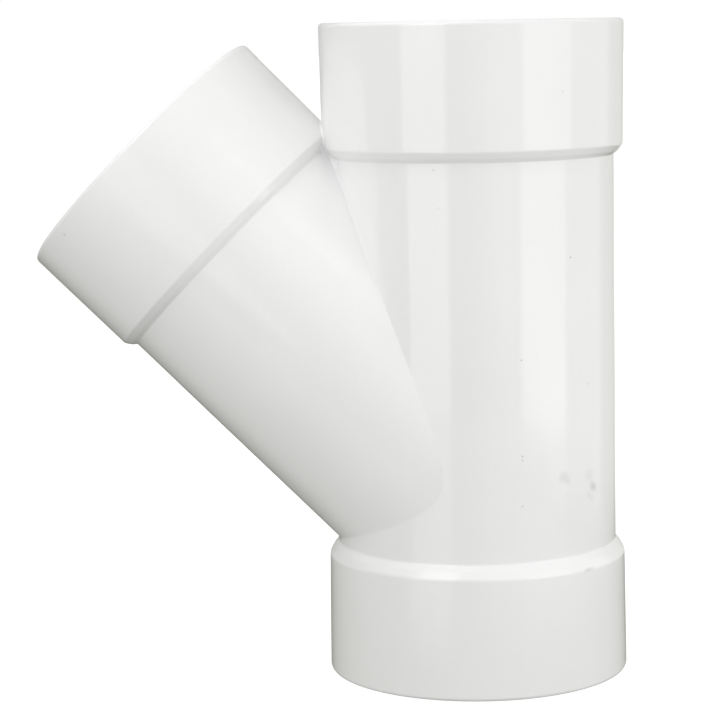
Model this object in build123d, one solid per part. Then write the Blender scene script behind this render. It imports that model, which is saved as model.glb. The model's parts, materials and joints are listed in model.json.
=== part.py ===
from build123d import *
import math
import os

os.makedirs("parts", exist_ok=True)

# ---------------------------------------------------------------------------
# Lateral wye pipe fitting, hub x hub x hub, one injection-moulded piece.
# Millimetres and degrees.  The run stands along +Z with its lower mouth in the
# plane z = 0 and its axis through the origin.  The branch lies in the XZ plane
# and leaves the run upwards, towards -X.
# ---------------------------------------------------------------------------

# Layout
overall_height = 247.6       # lower mouth to upper mouth, along the run
branch_angle = 45.0          # between the branch and the upper half of the run
junction_height = 72.8       # where the two axes cross, above the lower mouth
branch_reach = 179.8         # from that crossing to the branch mouth

# Outside of each hub
hub_mouth_radius = 57.3      # at the mouth; the hub has a little draft
hub_shoulder_radius = 56.75  # where the hub ends and its shoulder begins
rim_rounding = 1.6           # outer edge of the mouth

# Shoulder of each hub: a crowned ring in two slopes, the steeper one next to the body.
# Where it begins, breaks and ends at the neck, along the axis from the mouth, and the
# roundings of those three corners.  The lower hub's is a little longer and softer.
break_radius = 55.2
shoulder_upper = (46.7, 49.05, 50.5)
roundings_upper = (1.8, 2.5, 0.7)
shoulder_lower = (45.4, 48.1, 50.3)
roundings_lower = (3.0, 3.5, 1.5)

# Outside of the bodies between the hubs
run_body_radius = 53.35
branch_body_radius_out = 53.6    # at the branch's shoulder
branch_body_radius_in = 52.45    # at the crossing of the axes
crease_rounding = 2.4            # along the seam where branch and run meet

# Sockets: each takes the plain end of a pipe
socket_radius = 53.7         # straight wall
socket_depth = 44.45         # mouth to the stop ledge
mouth_lead_in = 0.8          # 45 degree break at the socket's edge
ledge_rounding = 0.8         # inner edge of the stop ledge

# Waterways behind the stop ledges
run_waterway_radius = 50.35
branch_waterway_radius_out = 50.35   # at the branch's stop ledge
branch_waterway_radius_in = 49.45    # at the crossing of the axes

node = "wye_fitting"

# ---------------------------------------------------------------------------
# Placement of the branch: its own Z axis runs from the crossing of the axes to
# the centre of the branch mouth.
# ---------------------------------------------------------------------------
a = math.radians(branch_angle)
branch_direction = Vector(-math.sin(a), 0, math.cos(a))
crossing = Vector(0, 0, junction_height)
branch_frame = Plane(origin=crossing, x_dir=Vector(math.cos(a), 0, math.sin(a)), z_dir=branch_direction)


def half_section(points, rounded):
    """A closed half section in the XZ plane from (radius, height) corners, with
    the corners named in `rounded` (index: radius) rounded, ready to be turned
    about the Z axis."""
    flat = make_face(Polyline(*points, close=True))
    for index, radius in rounded.items():
        corner = flat.vertices().sort_by_distance(points[index])[0]
        flat = fillet(corner, radius)
    return Plane.XZ * flat


# Bodies of run and branch on their own, joined, with the seam where the branch
# leaves the run rounded along its whole closed length
H = overall_height
B = branch_reach
neck = shoulder_upper[2]
run_body = Pos(0, 0, neck - 10) * Cylinder(
    run_body_radius, H - 2 * neck + 20, align=(Align.CENTER, Align.CENTER, Align.MIN)
)
branch_taper = (branch_body_radius_out - branch_body_radius_in) / (B - neck)
branch_body_end = B - 10
branch_body = branch_frame * revolve(
    half_section(
        [
            (0, 0),
            (branch_body_radius_in, 0),
            (branch_body_radius_in + branch_taper * branch_body_end, branch_body_end),
            (0, branch_body_end),
        ],
        {},
    ),
    Axis.Z,
)
bodies = run_body + branch_body
seam = [e for e in bodies.edges() if e.geom_type == GeomType.BSPLINE and e.is_closed]
bodies = fillet(seam, crease_rounding)

# Hubs: straight from the mouth with a little draft, a crowned shoulder, and a short
# collar that runs on along the body behind it
collar = 4.0


def hub_outside(shoulder, roundings, body_radius, collar_radius):
    begins, breaks, ends = shoulder
    return revolve(
        half_section(
            [
                (0, 0),
                (hub_mouth_radius, 0),
                (hub_shoulder_radius, begins),
                (break_radius, breaks),
                (body_radius, ends),
                (collar_radius, ends + collar),
                (0, ends + collar),
            ],
            {1: rim_rounding, 2: roundings[0], 3: roundings[1], 4: roundings[2]},
        ),
        Axis.Z,
    )


lower_hub = hub_outside(shoulder_lower, roundings_lower, run_body_radius, run_body_radius)
upper_hub = (
    Pos(0, 0, H)
    * Rot(180, 0, 0)
    * hub_outside(shoulder_upper, roundings_upper, run_body_radius, run_body_radius)
)
branch_hub = (
    branch_frame
    * Pos(0, 0, B)
    * Rot(180, 0, 0)
    * hub_outside(
        shoulder_upper,
        roundings_upper,
        branch_body_radius_out,
        branch_body_radius_out - branch_taper * collar,
    )
)
body = bodies + lower_hub + upper_hub + branch_hub

# Inside of the run: two sockets, two stop ledges and the waterway between them
R, S, L = run_waterway_radius, socket_radius, socket_depth
run_inside_points = [
    (0, -1.0),
    (S + mouth_lead_in + 1.0, -1.0),
    (S, mouth_lead_in),
    (S, L),
    (R, L),
    (R, H - L),
    (S, H - L),
    (S, H - mouth_lead_in),
    (S + mouth_lead_in + 1.0, H + 1.0),
    (0, H + 1.0),
]
run_inside = revolve(
    half_section(run_inside_points, {4: ledge_rounding, 5: ledge_rounding}), Axis.Z
)

# Inside of the branch: its socket, its stop ledge and its slightly drafted waterway
branch_inside_points = [
    (0, 0),
    (branch_waterway_radius_in, 0),
    (branch_waterway_radius_out, B - L),
    (S, B - L),
    (S, B - mouth_lead_in),
    (S + mouth_lead_in + 1.0, B + 1.0),
    (0, B + 1.0),
]
branch_inside = branch_frame * revolve(
    half_section(branch_inside_points, {2: ledge_rounding}), Axis.Z
)

wye = body - run_inside - branch_inside
print("solids", len(wye.solids()), "volume", round(wye.volume), "valid", wye.is_valid)
part = wye.solids()[0]
part.label = node
export_step(part, f"parts/{node}.step")
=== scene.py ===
import json
import math

import bpy
import numpy as np
from mathutils import Matrix, Vector
from mathutils.geometry import delaunay_2d_cdt
from mathutils.kdtree import KDTree

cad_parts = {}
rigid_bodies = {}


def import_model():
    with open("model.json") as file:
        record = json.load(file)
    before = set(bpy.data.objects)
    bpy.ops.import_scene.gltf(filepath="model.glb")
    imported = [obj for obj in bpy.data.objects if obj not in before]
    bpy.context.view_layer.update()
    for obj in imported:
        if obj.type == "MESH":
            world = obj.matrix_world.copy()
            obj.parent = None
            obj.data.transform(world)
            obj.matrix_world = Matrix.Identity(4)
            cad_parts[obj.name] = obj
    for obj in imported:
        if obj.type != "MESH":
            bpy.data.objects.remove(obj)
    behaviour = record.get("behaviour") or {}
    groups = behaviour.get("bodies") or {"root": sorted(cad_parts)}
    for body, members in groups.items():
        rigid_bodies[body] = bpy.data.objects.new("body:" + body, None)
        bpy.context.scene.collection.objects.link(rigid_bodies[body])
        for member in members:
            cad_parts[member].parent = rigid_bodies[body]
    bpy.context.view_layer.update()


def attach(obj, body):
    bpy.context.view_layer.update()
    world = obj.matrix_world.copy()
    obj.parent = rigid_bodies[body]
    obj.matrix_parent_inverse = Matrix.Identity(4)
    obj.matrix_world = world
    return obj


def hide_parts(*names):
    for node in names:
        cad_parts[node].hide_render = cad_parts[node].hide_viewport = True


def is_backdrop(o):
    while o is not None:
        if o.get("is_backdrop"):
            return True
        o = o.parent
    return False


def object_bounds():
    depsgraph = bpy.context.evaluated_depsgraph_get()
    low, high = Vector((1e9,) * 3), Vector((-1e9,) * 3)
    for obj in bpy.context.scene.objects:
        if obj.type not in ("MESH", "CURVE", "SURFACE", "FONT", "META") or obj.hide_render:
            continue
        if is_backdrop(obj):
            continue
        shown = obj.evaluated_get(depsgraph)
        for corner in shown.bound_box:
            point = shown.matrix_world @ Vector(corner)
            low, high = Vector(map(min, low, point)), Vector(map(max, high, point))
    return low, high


for thing in list(bpy.data.objects):
    bpy.data.objects.remove(thing)

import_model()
scene = bpy.context.scene
scene.view_settings.view_transform = "Standard"
scene.view_settings.look = "None"
scene.view_settings.exposure = 0.0
scene.view_settings.gamma = 1.0

# ---------------------------------------------------------------- camera
# standing in front of the fitting and a little to the right, looking slightly down
CAMERA_AT = Vector((0.0505, -0.9187, 0.2459))
YAW, PITCH, ROLL = -0.1012, -0.13656, -0.01921
FOCAL = 2422.2 / 727 * 36

forward = Vector((math.sin(YAW) * math.cos(PITCH), math.cos(YAW) * math.cos(PITCH), math.sin(PITCH)))
right = Vector((math.cos(YAW), -math.sin(YAW), 0))
up = right.cross(forward)
turned_right = right * math.cos(ROLL) + up * math.sin(ROLL)
turned_up = -right * math.sin(ROLL) + up * math.cos(ROLL)
camera_data = bpy.data.cameras.new("camera")
camera_data.sensor_width = 36
camera_data.lens = FOCAL
camera_data.clip_start, camera_data.clip_end = 0.01, 100
camera = bpy.data.objects.new("camera", camera_data)
scene.collection.objects.link(camera)
camera.matrix_world = Matrix((
    (turned_right.x, turned_up.x, -forward.x, CAMERA_AT.x),
    (turned_right.y, turned_up.y, -forward.y, CAMERA_AT.y),
    (turned_right.z, turned_up.z, -forward.z, CAMERA_AT.z),
    (0, 0, 0, 1)))
scene.camera = camera

# ---------------------------------------------------------------- light
# A white studio as the fitting sees it: soft windows of light, each spanning azimuths
# (0 towards -Y, + towards +X) and height angles, in degrees, with the softness of each
# edge.  The tall panels left and right make the upright bands of gloss on the run.
WINDOWS = [
    # name             azimuth                     height                 light               slant
    ("ground_left",   (-130, -5, 40, 40),         (-70, -22, 20, 8),     (0.70, 0.70, 0.68), 0),
    ("ground_right",  (-5, 130, 40, 40),          (-70, -22, 20, 8),     (0.69, 0.69, 0.66), 0),
    ("ground_back_l", (-180, -130, 0, 40),        (-70, -22, 20, 8),     (0.18, 0.18, 0.17), 0),
    ("ground_back_r", (130, 180, 40, 0),          (-70, -22, 20, 8),     (0.18, 0.18, 0.17), 0),
    ("skirting",      (-180, 180, 0, 0),          (-22, -11.5, 8, 3),    (0.16, 0.16, 0.12), 0),
    ("back_left",     (-180, -112, 0, 20),        (-11.5, 28, 3, 12),    (0.49, 0.49, 0.48), 0),
    ("side_left",     (-112, -86, 20, 2),         (-11.5, 28, 3, 12),    (0.52, 0.52, 0.57), 0),
    ("gap_left",      (-86, -50, 2, 0.8),         (-11.5, 28, 3, 12),    (0.25, 0.25, 0.18), 0),
    ("box_left",      (-50, -17.3, 0.8, 0.8),     (-12.9, 28, 0.8, 12),  (0.98, 0.98, 1.03), 0),
    ("gap_front",     (-17.3, 15, 0.8, 30),       (-11.5, 28, 3, 12),    (0.15, 0.15, 0.15), 0),
    ("front_right",   (15, 40, 30, 0.8),          (-11.5, 28, 3, 12),    (0.82, 0.82, 0.82), 0),
    ("box_right",     (40, 82, 0.8, 1.2),         (-5.2, 28, 1.5, 12),   (0.84, 0.84, 0.81), 0.075),
    ("box_right_top", (41, 84, 2, 4),             (28, 40.5, 12, 1.5),   (0.52, 0.52, 0.52), 0),
    ("box_right_low", (40, 82, 0.8, 1.2),         (-12.6, -8, 0.8, 3),   (0.80, 0.80, 0.82), 0),
    ("far_right",     (82, 128, 1.2, 12),         (-11.5, 28, 3, 12),    (1.20, 1.20, 1.21), 0),
    ("back_right",    (128, 180, 12, 0),          (-11.5, 28, 3, 12),    (0.62, 0.62, 0.58), 0),
    ("high_left",     (-120, 0, 30, 30),          (28, 52, 12, 12),      (0.94, 0.94, 0.87), 0),
    ("high_right",    (0, 120, 30, 30),           (28, 52, 12, 12),      (0.90, 0.90, 0.87), 0),
    ("high_back_l",   (-180, -120, 0, 30),        (28, 52, 12, 12),      (0.93, 0.93, 0.92), 0),
    ("high_back_r",   (120, 180, 30, 0),          (28, 52, 12, 12),      (0.57, 0.57, 0.53), 0),
    ("top_left",      (-180, 0, 0, 60),           (52, 90, 12, 0),       (1.47, 1.47, 1.48), 0),
    ("top_right",     (0, 180, 60, 0),            (52, 90, 12, 0),       (0.64, 0.64, 0.66), 0),
]
# Panels at the side of the fitting, near enough for each hub to see them a little apart:
# azimuths of their edges, distance and heights in metres, light
PANELS = [
    ("panel_left_low",   -47.2, -14.4, 0.50, 0.037, 0.30, (0.69, 0.69, 0.69)),
    ("panel_left_high",  -46.8, -13.2, 0.50, 0.30, 0.75,  (1.01, 1.01, 1.06)),
    ("panel_left_far",   -47.8, -14.0, 0.80, 0.40, 1.10,  (1.01, 1.01, 1.03)),
    ("panel_right",       40.0, 78.5, 0.50, 0.03, 0.30,   (0.84, 0.84, 0.90)),
    ("panel_right_far",   40.0, 80.5, 0.80, -0.03, 0.40,  (0.51, 0.51, 0.50)),
]
SWEEP = 1.0        # what the camera sees past the floor's far edge

world = bpy.data.worlds.new("studio")
scene.world = world
world.use_nodes = True
wn, wl = world.node_tree.nodes, world.node_tree.links
wn.clear()


def world_maths(kind, *values):
    m = wn.new("ShaderNodeMath")
    m.operation = kind
    for i, v in enumerate(values):
        if isinstance(v, (int, float)):
            m.inputs[i].default_value = v
        else:
            wl.new(v, m.inputs[i])
    return m.outputs[0]


def world_step(value, edge, soft, rising):
    m = wn.new("ShaderNodeMapRange")
    m.interpolation_type = "SMOOTHSTEP"
    wl.new(value, m.inputs["Value"])
    m.inputs["From Min"].default_value = math.radians(edge - soft / 2)
    m.inputs["From Max"].default_value = math.radians(edge + soft / 2)
    m.inputs["To Min"].default_value = 0.0 if rising else 1.0
    m.inputs["To Max"].default_value = 1.0 if rising else 0.0
    return m.outputs["Result"]


coords = wn.new("ShaderNodeTexCoord")
split = wn.new("ShaderNodeSeparateXYZ")
wl.new(coords.outputs["Generated"], split.inputs[0])
azimuth = world_maths("ARCTAN2", split.outputs[0], world_maths("MULTIPLY", split.outputs[1], -1.0))
height = world_maths("ARCSINE", split.outputs[2])
total = None
for name, (a0, a1, sa0, sa1), (e0, e1, se0, se1), light, slant in WINDOWS:
    level = world_maths("MULTIPLY_ADD", azimuth, slant, height) if slant else height
    edges = []
    if a0 > -180:
        edges.append(world_step(azimuth, a0, sa0, True))
    if a1 < 180:
        edges.append(world_step(azimuth, a1, sa1, False))
    if e0 > -90:
        edges.append(world_step(level, e0, se0, True))
    if e1 < 90:
        edges.append(world_step(height, e1, se1, False))
    mask = edges[0]
    for e in edges[1:]:
        mask = world_maths("MULTIPLY", mask, e)
    shine = wn.new("ShaderNodeVectorMath")
    shine.operation = "SCALE"
    shine.label = name
    shine.inputs[0].default_value = light
    wl.new(mask, shine.inputs["Scale"])
    if total is None:
        total = shine.outputs[0]
    else:
        add = wn.new("ShaderNodeVectorMath")
        add.operation = "ADD"
        wl.new(total, add.inputs[0])
        wl.new(shine.outputs[0], add.inputs[1])
        total = add.outputs[0]
world_out = wn.new("ShaderNodeOutputWorld")
pick = wn.new("ShaderNodeMixShader")
path = wn.new("ShaderNodeLightPath")
room = wn.new("ShaderNodeBackground")
sweep = wn.new("ShaderNodeBackground")
wl.new(total, room.inputs["Color"])
sweep.inputs["Color"].default_value = (1, 1, 1, 1)
sweep.inputs["Strength"].default_value = SWEEP
wl.new(path.outputs["Is Camera Ray"], pick.inputs["Fac"])
wl.new(room.outputs[0], pick.inputs[1])
wl.new(sweep.outputs[0], pick.inputs[2])
wl.new(pick.outputs[0], world_out.inputs["Surface"])
scene.cycles.caustics_reflective = False


def direction(azimuth):
    a = math.radians(azimuth)
    return Vector((math.sin(a), -math.cos(a), 0))


for name, a0, a1, away, low, high, light in PANELS:
    p0, p1 = direction(a0) * away, direction(a1) * away
    wide, tall = (p1 - p0).length, high - low
    data = bpy.data.lights.new(name, "AREA")
    data.shape = "RECTANGLE"
    data.size, data.size_y = wide, tall
    data.color = [v / max(light) for v in light]
    data.energy = max(light) * math.pi * wide * tall
    lamp = bpy.data.objects.new(name, data)
    scene.collection.objects.link(lamp)
    place = (p0 + p1) / 2
    lamp.rotation_mode = "QUATERNION"
    lamp.rotation_quaternion = (-place.normalized()).to_track_quat("-Z", "Y")
    place.z = (low + high) / 2
    lamp.location = place
    lamp.visible_camera = False

# ---------------------------------------------------------------- floor
bpy.ops.mesh.primitive_grid_add(x_subdivisions=8, y_subdivisions=8, size=40, location=(0, 0, 0))
floor = bpy.context.object
floor.name = "floor"
paper = bpy.data.materials.new("floor_paper")
paper.use_nodes = True
pn, pl = paper.node_tree.nodes, paper.node_tree.links
b = pn["Principled BSDF"]
b.inputs["Base Color"].default_value = (0.46, 0.46, 0.46, 1)
b.inputs["Roughness"].default_value = 0.8
b.inputs["Specular IOR Level"].default_value = 0.0
# lit through from below as well, as a light table is, so that only the contact is shaded
b.inputs["Emission Color"].default_value = (1, 1, 1, 1)
b.inputs["Emission Strength"].default_value = 0.74
floor.data.materials.append(paper)
# the light that a white floor throws up is already in the ground windows
floor.visible_diffuse = False
floor.visible_glossy = False
floor.visible_transmission = False
floor.visible_shadow = False
floor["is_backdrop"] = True

# ---------------------------------------------------------------- the fitting's surface
# All sizes here are in millimetres.  Two turned shapes, the run about Z and the branch
# about a line leaning 45 degrees towards -X, meet in one smooth mesh.
H = 247.6          # lower mouth to upper mouth
CROSS = 72.8       # height where the two axes meet
REACH = 179.8      # from there to the branch mouth
C45 = math.sqrt(0.5)
COLUMNS = 80       # round half the circle
ROW = 2.2          # spacing of rows along a straight wall


class Profile:
    """A smooth (radius, height) line made of straight pieces with rounded corners,
    measured by the length t along it.  Outside lies to the right of its direction."""

    def __init__(self, points, rounding, closed):
        pts = [np.array(p, float) for p in points]
        n = len(pts)
        cuts = []
        for i in range(n):
            if not closed and i in (0, n - 1):
                cuts.append(None)
                continue
            a, b, c = pts[i - 1], pts[i], pts[(i + 1) % n]
            u, v = (a - b) / np.linalg.norm(a - b), (c - b) / np.linalg.norm(c - b)
            half = math.acos(max(-1, min(1, float(u @ v)))) / 2
            radius = rounding[i]
            tangent = radius / math.tan(half)
            bis = (u + v) / np.linalg.norm(u + v)
            centre = b + bis * radius / math.sin(half)
            cuts.append((b + u * tangent, b + v * tangent, centre, radius))
        self.pieces = []
        t = 0.0
        self.rows = []
        count = n if closed else n - 1
        start = cuts[0][1] if closed else pts[0]
        for k in range(count):
            j = (k + 1) % n
            end = pts[j] if cuts[j] is None else cuts[j][0]
            length = float(np.linalg.norm(end - start))
            d = (end - start) / length
            self.pieces.append(("line", t, t + length, start, d, np.array([d[1], -d[0]])))
            m = max(1, round(length / ROW))
            self.rows += [t + length * q / m for q in range(m)]
            t += length
            if cuts[j] is not None:
                p0, p1, centre, radius = cuts[j]
                a0 = math.atan2(*(p0 - centre)[::-1])
                a1 = math.atan2(*(p1 - centre)[::-1])
                turn = (a1 - a0 + math.pi) % (2 * math.pi) - math.pi
                length = abs(turn) * radius
                side = 1.0 if float((p0 - centre) @ np.array([d[1], -d[0]])) > 0 else -1.0
                self.pieces.append(("arc", t, t + length, centre, radius, a0, turn, side))
                m = max(3, math.ceil(abs(turn) / 0.27), math.ceil(length / 0.6))
                self.rows += [t + length * q / m for q in range(m)]
                t += length
                start = p1
            else:
                start = end
        self.length = t
        self.closed = closed
        if not closed:
            self.rows.append(t)
        self.rows = np.array(self.rows)

    def at(self, t):
        """radius, height and outward normal at length t along the line."""
        t = np.asarray(t, float)
        if self.closed:
            t = np.mod(t, self.length)
        shape = t.shape
        t = t.ravel()
        out = np.zeros((4, t.size))
        for p in self.pieces:
            m = (t >= p[1] - 1e-9) & (t <= p[2] + 1e-9)
            if not m.any():
                continue
            q = t[m] - p[1]
            if p[0] == "line":
                out[0, m] = p[3][0] + p[4][0] * q
                out[1, m] = p[3][1] + p[4][1] * q
                out[2, m], out[3, m] = p[5]
            else:
                _, t0, t1, centre, radius, a0, turn, side = p
                a = a0 + turn * q / (t1 - t0)
                out[0, m] = centre[0] + radius * np.cos(a)
                out[1, m] = centre[1] + radius * np.sin(a)
                out[2, m] = side * np.cos(a)
                out[3, m] = side * np.sin(a)
        return out.reshape((4,) + shape)

    def nearest(self, r, h):
        """signed distance, normal and t of the nearest point of the line."""
        r, h = np.asarray(r, float), np.asarray(h, float)
        best = np.full(r.shape, 1e9)
        d = np.zeros(r.shape)
        nr, nh, tt = np.zeros(r.shape), np.zeros(r.shape), np.zeros(r.shape)
        for p in self.pieces:
            if p[0] == "line":
                _, t0, t1, s, v, n = p
                q = np.clip((r - s[0]) * v[0] + (h - s[1]) * v[1], 0, t1 - t0)
                ex, ey = r - s[0] - v[0] * q, h - s[1] - v[1] * q
                a, b = np.broadcast_to(n[0], r.shape), np.broadcast_to(n[1], r.shape)
                t = t0 + q
            else:
                _, t0, t1, centre, radius, a0, turn, side = p
                ang = np.arctan2(h - centre[1], r - centre[0])
                rel = (ang - a0) * np.sign(turn)
                rel = np.mod(rel + math.pi, 2 * math.pi) - math.pi
                rel = np.clip(rel, 0, abs(turn))
                ang = a0 + np.sign(turn) * rel
                ca, sa = np.cos(ang), np.sin(ang)
                ex, ey = r - centre[0] - radius * ca, h - centre[1] - radius * sa
                a, b = side * ca, side * sa
                t = t0 + rel * radius
            dist = np.hypot(ex, ey)
            m = dist < best - 1e-12
            best = np.where(m, dist, best)
            d = np.where(m, ex * a + ey * b, d)
            nr, nh, tt = np.where(m, a, nr), np.where(m, b, nh), np.where(m, t, tt)
        sign = np.where(d < 0, -1.0, 1.0)
        return sign * best, nr, nh, tt


# outer line of the run from its lower ring to its upper ring, then down the inside
RUN = Profile(
    [(54.5, 0), (57.3, 0), (56.75, 45.4), (55.2, 48.1), (53.35, 50.3), (53.35, H - 50.5),
     (55.2, H - 49.05), (56.75, H - 46.7), (57.3, H), (54.5, H), (53.7, H - 0.8),
     (53.7, H - 44.45), (50.35, H - 44.45), (50.35, 44.45), (53.7, 44.45), (53.7, 0.8)],
    [0.3, 1.6, 3.0, 3.5, 1.5, 0.7, 2.5, 1.8, 1.6, 0.3, 0.3, 0.25, 0.8, 0.8, 0.25, 0.3], True)
BRANCH = Profile(
    [(52.45, 0), (53.6, REACH - 50.5), (55.2, REACH - 49.05), (56.75, REACH - 46.7),
     (57.3, REACH), (54.5, REACH), (53.7, REACH - 0.8), (53.7, REACH - 44.45),
     (50.35, REACH - 44.45), (49.45, 0)],
    [0, 0.7, 2.5, 1.8, 1.6, 0.3, 0.3, 0.25, 0.8, 0], False)


def run_point(theta, t):
    r, h, nr, nh = RUN.at(t)
    c, s = np.cos(theta), np.sin(theta)
    return np.stack([r * c, r * s, h], -1), np.stack([nr * c, nr * s, nh], -1)


def branch_point(alpha, t):
    r, h, nr, nh = BRANCH.at(t)
    c, s = np.cos(alpha), np.sin(alpha)
    p = np.stack([(-h + r * c) * C45, r * s, CROSS + (h + r * c) * C45], -1)
    n = np.stack([(-nh + nr * c) * C45, nr * s, (nh + nr * c) * C45], -1)
    return p, n


def run_field(p):
    r = np.hypot(p[..., 0], p[..., 1])
    d, nr, nh, t = RUN.nearest(r, p[..., 2])
    e = np.stack([p[..., 0] / r, p[..., 1] / r, np.zeros_like(r)], -1)
    n = e * nr[..., None]
    n[..., 2] += nh
    return d, n, e, t


def branch_field(p):
    z = p[..., 2] - CROSS
    s, u = (z - p[..., 0]) * C45, (z + p[..., 0]) * C45
    r = np.hypot(u, p[..., 1])
    d, nr, nh, t = BRANCH.nearest(r, s)
    cu, cy = u / r, p[..., 1] / r
    e = np.stack([cu * C45, cy, cu * C45], -1)
    n = e * nr[..., None] + nh[..., None] * np.array([-C45, 0, C45])
    return d, n, e, t


def t_of(profile, r, h):
    return float(profile.nearest(np.array([r]), np.array([h]))[3][0])


OUT_END_R = t_of(RUN, 55.5, H)                 # where the run's outside ends
OUT_END_B = t_of(BRANCH, 55.5, REACH)


def seam(inner):
    """Where the branch's surface leaves the run's: angles, lengths and points, from
    the crotch (alpha 0) round to the underside (alpha pi), followed step by step."""
    R0 = 55.0

    def f(q):
        p, _ = branch_point(q[:, 0] / R0, q[:, 1])
        if inner:
            return np.hypot(p[:, 0], p[:, 1]) - 50.35
        return run_field(p)[0]

    def root(x, a, b):
        for _ in range(50):
            m = (a + b) / 2
            if f(np.array([[x, m]]))[0] > 0:
                a = m
            else:
                b = m
        return (a + b) / 2

    if inner:
        outside, within = t_of(BRANCH, 50.2, REACH - 50), BRANCH.length
    else:
        outside, within = t_of(BRANCH, 56.95, REACH - 30), 0.0
    grid = np.linspace(outside, within, 400)
    v = f(np.stack([np.zeros(400), grid], -1))
    k = int(np.argmax(v < 0))
    q = np.array([0.0, root(0.0, grid[k - 1], grid[k])])
    line = [q]
    e = 1e-4
    heading = np.array([1.0, 0.0])
    step = 0.2
    while q[0] < math.pi * R0 and len(line) < 4000:
        around = np.array([q, q + [e, 0], q + [0, e]])
        v = f(around)
        g = np.array([v[1] - v[0], v[2] - v[0]]) / e
        t = np.array([-g[1], g[0]]) / np.linalg.norm(g)
        if t @ heading < 0:
            t = -t
        new = q + t * step
        for _ in range(3):
            v = f(np.array([new, new + [e, 0], new + [0, e]]))
            g = np.array([v[1] - v[0], v[2] - v[0]]) / e
            new = new - g * v[0] / (g @ g)
        heading = t
        q = new
        line.append(q)
    line = np.array(line)
    a, b = line[-2], line[-1]
    end = a + (b - a) * (math.pi * R0 - a[0]) / (b[0] - a[0])
    lo, hi = end[1] - 0.2, end[1] + 0.2
    if f(np.array([[math.pi * R0, lo]]))[0] < 0:
        lo, hi = hi, lo
    line[-1] = (math.pi * R0, root(math.pi * R0, lo, hi))
    alpha, t = line[:, 0] / R0, line[:, 1]
    p, _ = branch_point(alpha, t)
    run = np.concatenate([[0], np.cumsum(np.linalg.norm(np.diff(p, axis=0), axis=1))])
    at, idx = 0.0, [0]
    for i in range(1, len(line) - 1):
        tight = 0.55 if (not inner and p[i, 2] > 190) else 1.15
        if run[i] - at >= tight and run[-1] - run[i] > 0.6:
            idx.append(i)
            at = run[i]
    idx.append(len(line) - 1)
    return alpha[idx], t[idx], p[idx]


def patch(X, Y, sx, sy, bx0, bx1, by0, by1, keep, side_rows):
    """Triangles of a rectangle of a surface with the seam (sx, sy) built in, kept on
    one side of it.  X, Y are grid points in the rectangle; returns points, triangles
    and the index of each seam point."""
    line = np.stack([sx, sy], -1)
    grid = np.stack([X.ravel(), Y.ravel()], -1)

    def distance(q):
        best = np.full(len(q), 1e9)
        for a, b in zip(line[:-1], line[1:]):
            d = b - a
            u = np.clip(((q - a) @ d) / (d @ d), 0, 1)
            e = q - a - u[:, None] * d
            best = np.minimum(best, np.hypot(e[:, 0], e[:, 1]))
        return best

    dist = distance(grid)
    grid = grid[dist > 0.42]
    tangent = np.gradient(line, axis=0)
    tangent /= np.linalg.norm(tangent, axis=1, keepdims=True)
    normal = np.stack([-tangent[:, 1], tangent[:, 0]], -1)
    chosen = [line, grid]
    for k, o in enumerate(side_rows):
        for s in (1, -1):
            q = line + normal * o * s
            if k % 2:
                q = (q[1:] + q[:-1]) / 2
            ok = (q[:, 0] > bx0 + 0.3) & (q[:, 0] < bx1 - 0.3) & (q[:, 1] > by0 + 0.3) & (q[:, 1] < by1 - 0.3)
            q = q[ok]
            if not len(q):
                continue
            q = q[distance(q) > 0.93 * o]
            have = np.concatenate(chosen)
            good = []
            for v in q:
                if np.min(np.hypot(have[:, 0] - v[0], have[:, 1] - v[1])) > 0.30:
                    if not good or min(math.hypot(v[0] - g[0], v[1] - g[1]) for g in good[-40:]) > 0.45:
                        good.append(v)
            if good:
                chosen.append(np.array(good))
    pts = np.concatenate(chosen)
    n = len(line)
    edges = [(i, i + 1) for i in range(n - 1)]
    # the rectangle's own border, through the points that lie on it
    for axis, value in ((0, bx0), (0, bx1), (1, by0), (1, by1)):
        on = np.where(np.abs(pts[:, axis] - value) < 1e-6)[0]
        on = on[np.argsort(pts[on, 1 - axis])]
        edges += [(int(a), int(b)) for a, b in zip(on[:-1], on[1:])]
    out = delaunay_2d_cdt([tuple(map(float, v)) for v in pts], edges, [], 0, 1e-7)
    verts, _, faces, orig = out[0], out[1], out[2], out[3]
    verts = np.array([tuple(v) for v in verts])
    faces = np.array([tuple(f) for f in faces])
    where = {}
    for i, o in enumerate(orig):
        for q in o:
            where[q] = i
    seam_ids = [where[i] for i in range(n)]
    blocked = {frozenset((a, b)) for a, b in zip(seam_ids[:-1], seam_ids[1:])}
    # walk over the triangles from one on the kept side without crossing the seam
    by_edge = {}
    for i, f in enumerate(faces):
        for a, b in ((f[0], f[1]), (f[1], f[2]), (f[2], f[0])):
            by_edge.setdefault(frozenset((a, b)), []).append(i)
    centre = verts[faces].mean(1)
    start = int(np.argmin(np.hypot(centre[:, 0] - keep[0], centre[:, 1] - keep[1])))
    seen = np.zeros(len(faces), bool)
    seen[start] = True
    stack = [start]
    while stack:
        i = stack.pop()
        f = faces[i]
        for a, b in ((f[0], f[1]), (f[1], f[2]), (f[2], f[0])):
            e = frozenset((a, b))
            if e in blocked:
                continue
            for j in by_edge[e]:
                if not seen[j]:
                    seen[j] = True
                    stack.append(j)
    # flat slivers on the rectangle's border carry no area
    p = verts[faces]
    area = (p[:, 1, 0] - p[:, 0, 0]) * (p[:, 2, 1] - p[:, 0, 1]) - (p[:, 2, 0] - p[:, 0, 0]) * (p[:, 1, 1] - p[:, 0, 1])
    faces = np.where(area[:, None] < 0, faces[:, ::-1], faces)
    return verts, faces[seen & (np.abs(area) > 1e-7)], seam_ids


SIDE_ROWS = (0.32, 0.7, 1.15, 1.7, 2.4, 3.2, 4.2, 5.3)


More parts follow.
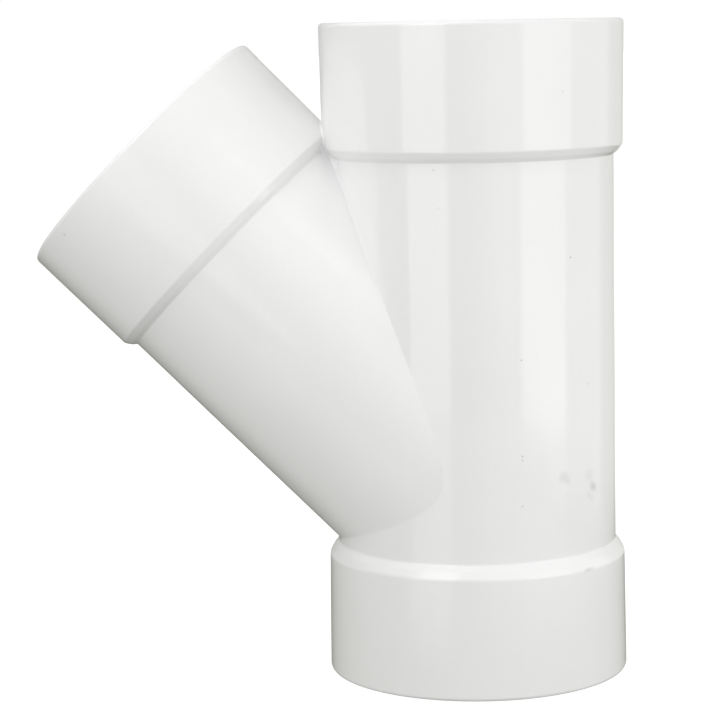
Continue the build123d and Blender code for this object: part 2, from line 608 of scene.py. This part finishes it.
def build():
    """Half of the fitting (y >= 0) as points, normals and faces, in millimetres."""
    R0 = 55.0
    columns = np.linspace(0, math.pi, COLUMNS + 1)
    pos, nor, kinds, faces = [], [], [], []
    count = 0

    def add(p, n, f, kind):
        nonlocal count
        flip = False
        pos.append(p); nor.append(n); kinds.append(kind)
        for q in f:
            q = tuple(int(v) + count for v in q)
            faces.append(q[::-1] if flip else q)
        count += len(p)

    seams = {k: seam(k == "inner") for k in ("outer", "inner")}

    # ---- run: whole closed line, with a rectangle set aside round each seam
    rows = np.append(RUN.rows, RUN.length)
    blocks = []
    for k, (alpha, tb, p) in seams.items():
        theta = np.arctan2(p[:, 1], p[:, 0])
        theta[np.abs(p[:, 1]) < 1e-9] = math.pi
        if k == "outer":
            t = run_field(p)[3]
        else:
            t = t_of(RUN, 50.35, 100.0) + 100.0 - p[:, 2]
        c0 = int(np.searchsorted(columns, theta.min()) - 5)
        r0 = int(np.searchsorted(rows, t.min()) - 5)
        r1 = int(np.searchsorted(rows, t.max()) + 5)
        blocks.append((c0, r0, r1))
        T, A = np.meshgrid(rows[r0:r1 + 1], columns[c0:], indexing="ij")
        v, f, ids = patch(A * R0, T, theta * R0, t, columns[c0] * R0, math.pi * R0, rows[r0], rows[r1],
                          (columns[c0] * R0 + 1, (rows[r0] + rows[r1]) / 2), SIDE_ROWS)
        a, tt = v[:, 0] / R0, v[:, 1]
        used = np.unique(f)
        remap = -np.ones(len(v), int); remap[used] = np.arange(len(used))
        q, n = run_point(a[used], tt[used])
        # seam points take exactly the place that the branch gives them
        for i, s_id in enumerate(ids):
            if remap[s_id] >= 0:
                q[remap[s_id]] = p[i]
        add(q, n, remap[f], np.where(tt[used] < OUT_END_R, 1, 3))
    quads = []
    for i in range(len(rows) - 1):
        for j in range(COLUMNS):
            if any(c0 <= j and r0 <= i < r1 for c0, r0, r1 in blocks):
                continue
            quads.append((i * (COLUMNS + 1) + j, i * (COLUMNS + 1) + j + 1, (i + 1) * (COLUMNS + 1) + j + 1, (i + 1) * (COLUMNS + 1) + j))
    T, A = np.meshgrid(rows, columns, indexing="ij")
    q, n = run_point(A.ravel(), T.ravel())
    used = np.unique(quads)
    remap = -np.ones(len(q), int); remap[used] = np.arange(len(used))
    add(q[used], n[used], remap[np.array(quads)], np.where(T.ravel()[used] < OUT_END_R, 1, 3))

    # ---- branch: from the outer seam over the hub and back down inside to the inner seam
    rows = BRANCH.rows
    ao, to, po = seams["outer"]
    ai, ti, pi_ = seams["inner"]
    r1 = int(np.searchsorted(rows, to.max()) + 4)
    r2 = int(np.searchsorted(rows, ti.min()) - 4)
    for k, (alpha, tb, p), ra, rb in (("outer", seams["outer"], 0, r1), ("inner", seams["inner"], r2, len(rows) - 1)):
        T, A = np.meshgrid(rows[ra:rb + 1], columns, indexing="ij")
        keep = (math.pi * R0 / 2, rows[rb] - 0.5 if k == "outer" else rows[ra] + 0.5)
        v, f, ids = patch(A * R0, T, alpha * R0, tb, 0, math.pi * R0, rows[ra], rows[rb], keep, SIDE_ROWS)
        a, tt = v[:, 0] / R0, v[:, 1]
        used = np.unique(f)
        remap = -np.ones(len(v), int); remap[used] = np.arange(len(used))
        q, n = branch_point(a[used], tt[used])
        for i, s_id in enumerate(ids):
            if remap[s_id] >= 0:
                q[remap[s_id]] = p[i]
        add(q, n, remap[f], np.full(len(used), 2 if k == "outer" else 4))
    quads = []
    for i in range(r1, r2):
        for j in range(COLUMNS):
            quads.append((i * (COLUMNS + 1) + j, i * (COLUMNS + 1) + j + 1, (i + 1) * (COLUMNS + 1) + j + 1, (i + 1) * (COLUMNS + 1) + j))
    T, A = np.meshgrid(rows, columns, indexing="ij")
    q, n = branch_point(A.ravel(), T.ravel())
    used = np.unique(quads)
    remap = -np.ones(len(q), int); remap[used] = np.arange(len(used))
    add(q[used], n[used], remap[np.array(quads)], np.where(T.ravel()[used] < OUT_END_B, 2, 4))
    return np.concatenate(pos), np.concatenate(nor), np.concatenate(kinds), faces


def weld(pos, nor, faces, reach=5e-4):
    """Joins points that lie in the same place."""
    key = np.round(pos / 1e-4).astype(np.int64)
    _, first, inv = np.unique(key, axis=0, return_index=True, return_inverse=True)
    inv = inv.ravel()
    p, n = pos[first], nor[first]
    tree = KDTree(len(p))
    for i, v in enumerate(p):
        tree.insert(v, i)
    tree.balance()
    to = np.arange(len(p))
    for i, v in enumerate(p):
        for _, k, d in tree.find_range(v, reach):
            if k < to[i]:
                to[i] = k
    inv = to[inv]
    used, inv2 = np.unique(inv, return_inverse=True)
    inv2 = inv2.ravel()
    p, n = p[used], n[used]
    clean = []
    for q in faces:
        r = []
        for v in q:
            v = int(inv2[v])
            if v not in r:
                r.append(v)
        if len(r) > 2:
            clean.append(tuple(r))
    return p, n, clean


def smooth(x, a, b):
    q = np.clip((x - a) / (b - a), 0, 1)
    return q * q * (3 - 2 * q)


def blend(p, n, kind):
    """Rounds both seams: points near one move onto a rolling-ball surface."""
    p, n = p.copy(), n.copy()
    slope = 0.9 / (REACH - 44.45)
    for inner in (False, True):
        m = (kind >= 3) if inner else (kind <= 2)
        q, k = p[m], n[m]
        for step in range(8):
            if inner:
                r1 = np.hypot(q[:, 0], q[:, 1])
                e1 = np.stack([q[:, 0] / r1, q[:, 1] / r1, np.zeros_like(r1)], -1)
                d1, n1 = r1 - 50.35, e1
                z = q[:, 2] - CROSS
                s, u = (z - q[:, 0]) * C45, (z + q[:, 0]) * C45
                r2 = np.hypot(u, q[:, 1])
                cu, cy = u / r2, q[:, 1] / r2
                e2 = np.stack([cu * C45, cy, cu * C45], -1)
                d2 = (r2 - 49.45 - slope * s) / math.hypot(1, slope)
                n2 = (e2 - slope * np.array([-C45, 0, C45])) / math.hypot(1, slope)
                rho = np.full(len(q), 0.8)
                near = (q[:, 2] > 48) & (q[:, 2] < 200) & (s > 5) & (s < 130)
            else:
                d1, n1, e1, _ = run_field(q)
                d2, n2, e2, _ = branch_field(q)
                rho = 1.2 - 0.85 * smooth(q[:, 2], 60, 95)
                rho = rho * (1 - 0.85 * smooth(-(n1 * n2).sum(-1), 0.72, 0.86))
                near = (d1 < 8) & (d2 < 8) & (q[:, 2] > 45) & (q[:, 2] < 225) & (q[:, 0] < 0)
            r = rho * (1 - (n1 * n2).sum(-1))
            a, b = np.maximum(r - d1, 0), np.maximum(r - d2, 0)
            near &= (a > 0) & (b > 0)
            length = np.sqrt(a * a + b * b) + 1e-12
            f = r - length
            g = (a[:, None] * n1 + b[:, None] * n2) / length[:, None]
            gg = (g * g).sum(-1)
            if step < 7:
                middle = n1 + n2
                middle = middle / np.maximum(np.linalg.norm(middle, axis=1, keepdims=True), 1e-6)
                move = np.where(near, f / np.maximum((g * middle).sum(-1), 0.05), 0)
                q = q - middle * np.clip(move, -0.8, 0.8)[:, None]
            k = np.where(near[:, None], (-g if inner else g) / np.sqrt(np.maximum(gg, 1e-9))[:, None], k)
        p[m], n[m] = q, k
    return p, n


def fill_wedge(p, n, faces, outside, turns=60):
    """Fills the narrow wedge where the branch's hub meets the upper hub, as the mould
    does: points near the crease are evened out, most at the crease itself."""
    crease = []
    for side in (-1, 1):
        crease.append(np.array([(-57.0, 0, 210.4), (-56.2, 8 * side, 207.5), (-54.9, 14.3 * side, 203.4),
                                (-53.0, 15.2 * side, 198.7), (-51.2, 15.6 * side, 196.9), (-50.4, 17.2 * side, 195.2)]))
    near = np.full(len(p), 1e9)
    close = (p[:, 2] > 185) & (p[:, 2] < 220) & (p[:, 0] < -35) & (np.abs(p[:, 1]) < 28)
    index = np.where(close)[0]
    q = p[index]
    best = np.full(len(index), 1e9)
    for line in crease:
        for a, b in zip(line[:-1], line[1:]):
            d = b - a
            u = np.clip(((q - a) @ d) / (d @ d), 0, 1)
            best = np.minimum(best, np.linalg.norm(q - a - u[:, None] * d, axis=1))
    near[index] = np.where(outside[index], best, 1e9)
    weight = (1 - smooth(near, 1.0, 4.2)) * (1 - 0.93 * smooth(p[:, 2], 200, 206.5))
    moving = np.where(weight > 0)[0]
    inside = {int(v): i for i, v in enumerate(moving)}
    pairs = set()
    for f in faces:
        for a, b in zip(f, f[1:] + f[:1]):
            if a in inside or b in inside:
                pairs.add((a, b))
                pairs.add((b, a))
    pairs = np.array(sorted(pairs))
    own = np.array([inside.get(int(a), -1) for a in pairs[:, 0]])
    pairs, own = pairs[own >= 0], own[own >= 0]
    count = np.bincount(own, minlength=len(moving))[:, None]
    p = p.copy()
    start = p[moving].copy()
    w = weight[moving][:, None]
    for _ in range(turns):
        total = np.zeros((len(moving), 3))
        np.add.at(total, own, p[pairs[:, 1]])
        p[moving] += 0.6 * w * (total / count - p[moving])
    # normals of the moved part from its faces
    fresh = np.zeros_like(p)
    for f in faces:
        if any(v in inside for v in f):
            c = p[list(f)]
            m = c.mean(0)
            e = c - m
            k = np.cross(e, np.roll(e, -1, axis=0)).sum(0)
            for v in f:
                fresh[v] += k
    length = np.linalg.norm(fresh[moving], axis=1, keepdims=True)
    fresh = fresh[moving] / np.maximum(length, 1e-12)
    mix = smooth(weight[moving], 0.0, 0.12)[:, None]
    n = n.copy()
    k = n[moving] * (1 - mix) + fresh * mix
    n[moving] = k / np.linalg.norm(k, axis=1, keepdims=True)
    return p, n


def corner_normals(p, n, faces, outside):
    """One normal for each face corner: along the upper part of the seam each side keeps
    its own surface's normal, so that branch and run meet in a crisp line."""
    corners = np.array([v for f in faces for v in f])
    sizes = np.array([len(f) for f in faces])
    centre = np.add.reduceat(p[corners], np.concatenate([[0], np.cumsum(sizes)[:-1]]), axis=0) / sizes[:, None]
    loops = n[corners]
    d1, n1 = run_field(p)[:2]
    d2, n2 = branch_field(p)[:2]
    near = (np.abs(d1) < 0.5) & (np.abs(d2) < 0.5) & outside & (p[:, 0] < 0) & (p[:, 2] > 70) & (p[:, 2] < 194)
    at = np.where(near[corners])[0]
    c = centre[np.repeat(np.arange(len(faces)), sizes)[at]]
    of_run = np.abs(run_field(c)[0]) < np.abs(branch_field(c)[0])
    v = corners[at]
    own = np.where(of_run[:, None], n1[v], n2[v])
    w = (smooth(p[v, 2], 70, 95) * (1 - smooth(p[v, 2], 186, 194)))[:, None]
    k = loops[at] * (1 - w) + own * w
    loops[at] = k / np.linalg.norm(k, axis=1, keepdims=True)
    return corners, loops


def swell(p, n):
    """The slight unevenness of a cooled moulding: slow waves a few hundredths of a
    millimetre high, gone at the foot so that the ring stays flat."""
    waves = [((0.021, 0.034, 0.105), 0.3, 0.016), ((0.088, -0.041, 0.036), 1.9, 0.015),
             ((-0.052, 0.071, 0.061), 4.0, 0.014), ((0.030, 0.118, -0.052), 2.6, 0.010),
             ((0.130, 0.020, -0.090), 5.2, 0.007), ((-0.060, -0.090, 0.160), 0.9, 0.006)]
    h = np.zeros(len(p))
    g = np.zeros_like(p)
    for k, phase, size in waves:
        k = np.array(k)
        a = p @ k + phase
        h += size * np.sin(a)
        g += size * np.cos(a)[:, None] * k
    fade = smooth(p[:, 2], 1.0, 6.0)
    h, g = h * fade, g * fade[:, None]
    n = n - (g - n * (g * n).sum(-1)[:, None])
    return p + n * h[:, None], n / np.linalg.norm(n, axis=1, keepdims=True)


half, half_normals, kinds, half_faces = build()
half[np.abs(half[:, 1]) < 1e-6, 1] = 0
middle = half[:, 1] == 0
half, half_normals = blend(half, half_normals, kinds)
half[middle, 1] = 0
half_normals[middle, 1] = 0
half_normals /= np.linalg.norm(half_normals, axis=1, keepdims=True)
other = half * (1, -1, 1)
points = np.concatenate([half, other])
normals = np.concatenate([half_normals, half_normals * (1, -1, 1)])
faces = list(half_faces) + [tuple(v + len(half) for v in f[::-1]) for f in half_faces]
points, normals, faces = weld(points, normals, faces)

# how far each point is inside a bore, and how near a rounded outer corner
run_d, _, _, run_t = run_field(points)
branch_d, _, _, branch_t = branch_field(points)
on_branch = np.abs(branch_d) < np.abs(run_d)
bore = np.where(on_branch, branch_t > OUT_END_B, run_t > OUT_END_R).astype(float)
points, normals = fill_wedge(points, normals, faces, bore < 0.5)


def corner_of(profile, t):
    c = np.zeros(len(t))
    for p in profile.pieces:
        if p[0] == "arc" and p[4] > 0.5 and p[7] > 0:
            c = np.maximum(c, 1 - smooth(np.abs(t - (p[1] + p[2]) / 2), 0.3, 0.5 * (p[2] - p[1]) + 1.6))
    return c


corner = np.where(on_branch, corner_of(BRANCH, branch_t), corner_of(RUN, run_t))
corners, corner_n = corner_normals(points, normals, faces, bore < 0.5)
_, corner_n = swell(points[corners], corner_n)
points, normals = swell(points, normals)

mesh = bpy.data.meshes.new("wye_moulding")
mesh.from_pydata((points * 0.001).tolist(), [], faces)
mesh.shade_smooth()
mesh.normals_split_custom_set(corner_n.tolist())
for name, values in (("bore", bore), ("corner", corner)):
    a = mesh.attributes.new(name, "FLOAT", "POINT")
    a.data.foreach_set("value", values.astype(np.float32))
fitting = bpy.data.objects.new("wye_moulding", mesh)
scene.collection.objects.link(fitting)
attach(fitting, "root")
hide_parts("wye_fitting")

# ---------------------------------------------------------------- material
pvc = bpy.data.materials.new("white_pvc_moulded")
pvc.use_nodes = True
mn, ml = pvc.node_tree.nodes, pvc.node_tree.links
shader = mn["Principled BSDF"]
shader.inputs["IOR"].default_value = 1.53


def node(kind, **settings):
    n = mn.new(kind)
    for k, v in settings.items():
        setattr(n, k, v)
    return n


def put(target, value):
    if hasattr(value, "links"):
        ml.new(value, target)
    else:
        target.default_value = value


def maths(kind, *values, clamp=False):
    m = node("ShaderNodeMath", operation=kind, use_clamp=clamp)
    for i, v in enumerate(values):
        put(m.inputs[i], v)
    return m.outputs[0]


def remap(value, a, b, c, d, kind="LINEAR"):
    m = node("ShaderNodeMapRange", interpolation_type=kind)
    put(m.inputs["Value"], value)
    m.inputs["From Min"].default_value, m.inputs["From Max"].default_value = a, b
    m.inputs["To Min"].default_value, m.inputs["To Max"].default_value = c, d
    return m.outputs["Result"]


def noise(vector, scale, detail=2.0, rough=0.5, warp=0.0):
    n = node("ShaderNodeTexNoise")
    put(n.inputs["Vector"], vector)
    n.inputs["Scale"].default_value = scale
    n.inputs["Detail"].default_value = detail
    n.inputs["Roughness"].default_value = rough
    n.inputs["Distortion"].default_value = warp
    return n.outputs["Fac"]


where = node("ShaderNodeTexCoord").outputs["Object"]


def stretched(scale, turn=(0, 0, 0)):
    m = node("ShaderNodeMapping")
    put(m.inputs["Vector"], where)
    m.inputs["Rotation"].default_value = turn
    m.inputs["Scale"].default_value = scale
    return m.outputs[0]


def attribute(name):
    return node("ShaderNodeAttribute", attribute_name=name).outputs["Fac"]


inside = attribute("bore")
edge = attribute("corner")

# slow clouding of the resin, flow marks along the run, and fine mottling
cloud = noise(where, 22, 3.0, 0.55)
flow = noise(stretched((1, 1, 0.12)), 95, 2.0, 0.5, 0.6)
mottle = noise(where, 620, 2.0, 0.6)
tone = maths("ADD", maths("ADD", remap(cloud, 0.3, 0.7, -0.010, 0.010), remap(flow, 0.3, 0.7, -0.004, 0.004)),
             remap(mottle, 0.3, 0.7, -0.004, 0.004))

# handling marks: grey smudges and specks of grit, and the painted shade of a small dent on the lower hub's shoulder,
# each at its own place on the outside (x, y, z, radius in mm, strength)
MARKS = [
    (34.45, -40.7, 80.7, 3.4, 0.140), (36.05, -39.3, 79.0, 1.9, 0.115), (35.6, -39.7, 73.6, 2.0, 0.025),
    (43.6, -30.6, 79.7, 3.8, 0.085), (44.7, -29.1, 75.6, 2.7, 0.170), (45.6, -27.7, 74.4, 2.6, 0.150),
    (44.5, -29.3, 73.9, 2.0, 0.045), (43.4, -31.0, 72.3, 2.1, 0.100), (44.6, -29.3, 71.0, 2.2, 0.080),
    (48.2, -22.8, 72.9, 1.8, 0.040),
    (-11.0, -52.2, 194.6, 0.7, 0.20), (-9.4, -52.5, 181.0, 0.6, 0.14), (37.4, -38.0, 161.5, 0.55, 0.50),
    (19.7, -49.6, 125.4, 0.55, 0.35), (19.7, -49.6, 90.1, 0.6, 0.32), (19.7, -49.6, 88.6, 0.55, 0.26),
    (19.5, -49.6, 71.6, 0.55, 0.24), (43.6, -30.7, 114.0, 0.8, 0.16), (-147.6, -46.1, 172.5, 0.8, 0.22),
    # the last four spots are painted shade: a small dent on the lower hub's shoulder, drawn as dark spots in the
    # colour, not in the shape
    (43.9, -36.0, 45.3, 1.15, 0.20), (43.0, -37.1, 45.2, 1.15, 0.22), (42.1, -38.1, 45.1, 1.0, 0.12),
    (44.8, -34.9, 45.4, 1.0, 0.13),
]
# the rest of the surface has a few like them, thinly strewn
grit = node("ShaderNodeTexVoronoi", feature="F1", distance="EUCLIDEAN")
put(grit.inputs["Vector"], where)
grit.inputs["Scale"].default_value = 55
chosen = node("ShaderNodeSeparateColor")
ml.new(grit.outputs["Color"], chosen.inputs[0])
stray = maths("MULTIPLY", remap(grit.outputs["Distance"], 0.010, 0.026, 1.0, 0.0, "SMOOTHSTEP"),
              remap(chosen.outputs[0], 0.930, 0.935, 0.0, 0.22))

uneven = remap(noise(where, 620, 2.0, 0.5), 0.32, 0.62, 0.75, 1.15)
dirt_and_dent_shade = None
for x, y, z, radius, strength in MARKS:
    d = node("ShaderNodeVectorMath", operation="DISTANCE")
    put(d.inputs[0], where)
    d.inputs[1].default_value = (x * 0.001, y * 0.001, z * 0.001)
    soft = 0.0 if radius > 1.5 else 0.25
    spot = remap(d.outputs["Value"], radius * soft * 0.001, radius * 0.001, strength, 0.0, "SMOOTHSTEP")
    if radius > 1.5:
        spot = maths("MULTIPLY", spot, uneven)
    dirt_and_dent_shade = spot if dirt_and_dent_shade is None else maths("ADD", dirt_and_dent_shade, spot)
dirt_and_dent_shade = maths("MAXIMUM", dirt_and_dent_shade, stray)

# light scuffing: fine scratches in two slants, mostly on the corners that get knocked
scratch_a = noise(stretched((1.0, 1.0, 0.035), (0.5, 0.25, 0.0)), 1500, 1.0, 0.4)
scratch_b = noise(stretched((0.035, 1.0, 1.0), (0.0, 0.35, 0.6)), 1300, 1.0, 0.4)
scratches = maths("MAXIMUM", remap(scratch_a, 0.66, 0.74, 0.0, 1.0), remap(scratch_b, 0.67, 0.75, 0.0, 1.0))
patchy = remap(noise(where, 48, 3.0, 0.6), 0.48, 0.68, 0.0, 1.0, "SMOOTHSTEP")
scuff = maths("MULTIPLY", scratches, maths("ADD", maths("MULTIPLY", edge, 0.6), maths("MULTIPLY", patchy, 0.5)), clamp=True)

# colour
value = maths("ADD", tone, 1.0)
value = maths("MULTIPLY", value, maths("SUBTRACT", 1.0, maths("MULTIPLY", scuff, 0.02)))
clean = node("ShaderNodeVectorMath", operation="SCALE")
clean.inputs[0].default_value = (0.871, 0.871, 0.870)
put(clean.inputs["Scale"], value)
# dark grey: the colour of the dirt marks, and painted shade at the dent on the lower hub's shoulder
soiled_and_dent_shade = node("ShaderNodeMix", data_type="RGBA")
put(soiled_and_dent_shade.inputs[0], dirt_and_dent_shade)
put(soiled_and_dent_shade.inputs[6], clean.outputs[0])
soiled_and_dent_shade.inputs[7].default_value = (0.16, 0.16, 0.155, 1)
ml.new(soiled_and_dent_shade.outputs[2], shader.inputs["Base Color"])

# gloss: polished mould outside, a little duller on the cores, in scuffs, under dirt and under the painted dent shade
rough = maths("ADD", remap(noise(where, 70, 3.0, 0.55), 0.3, 0.7, 0.075, 0.105), maths("MULTIPLY", inside, 0.11))
rough = maths("ADD", rough, maths("MULTIPLY", scuff, 0.10))
rough = maths("ADD", rough, maths("MULTIPLY", edge, 0.03))
rough = maths("ADD", rough, maths("MULTIPLY", dirt_and_dent_shade, 0.5), clamp=True)
ml.new(rough, shader.inputs["Roughness"])

# relief: orange peel, fine grain, scratches
peel = noise(where, 260, 2.0, 0.5)
fine = noise(where, 2200, 2.0, 0.5)
relief = maths("ADD", maths("MULTIPLY", peel, 0.55), maths("MULTIPLY", fine, 0.035))
relief = maths("SUBTRACT", relief, maths("MULTIPLY", scuff, 0.10))
bump = node("ShaderNodeBump")
bump.inputs["Strength"].default_value = 1.0
bump.inputs["Distance"].default_value = 0.000006
put(bump.inputs["Height"], relief)
ml.new(bump.outputs[0], shader.inputs["Normal"])
fitting.data.materials.append(pvc)

low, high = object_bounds()
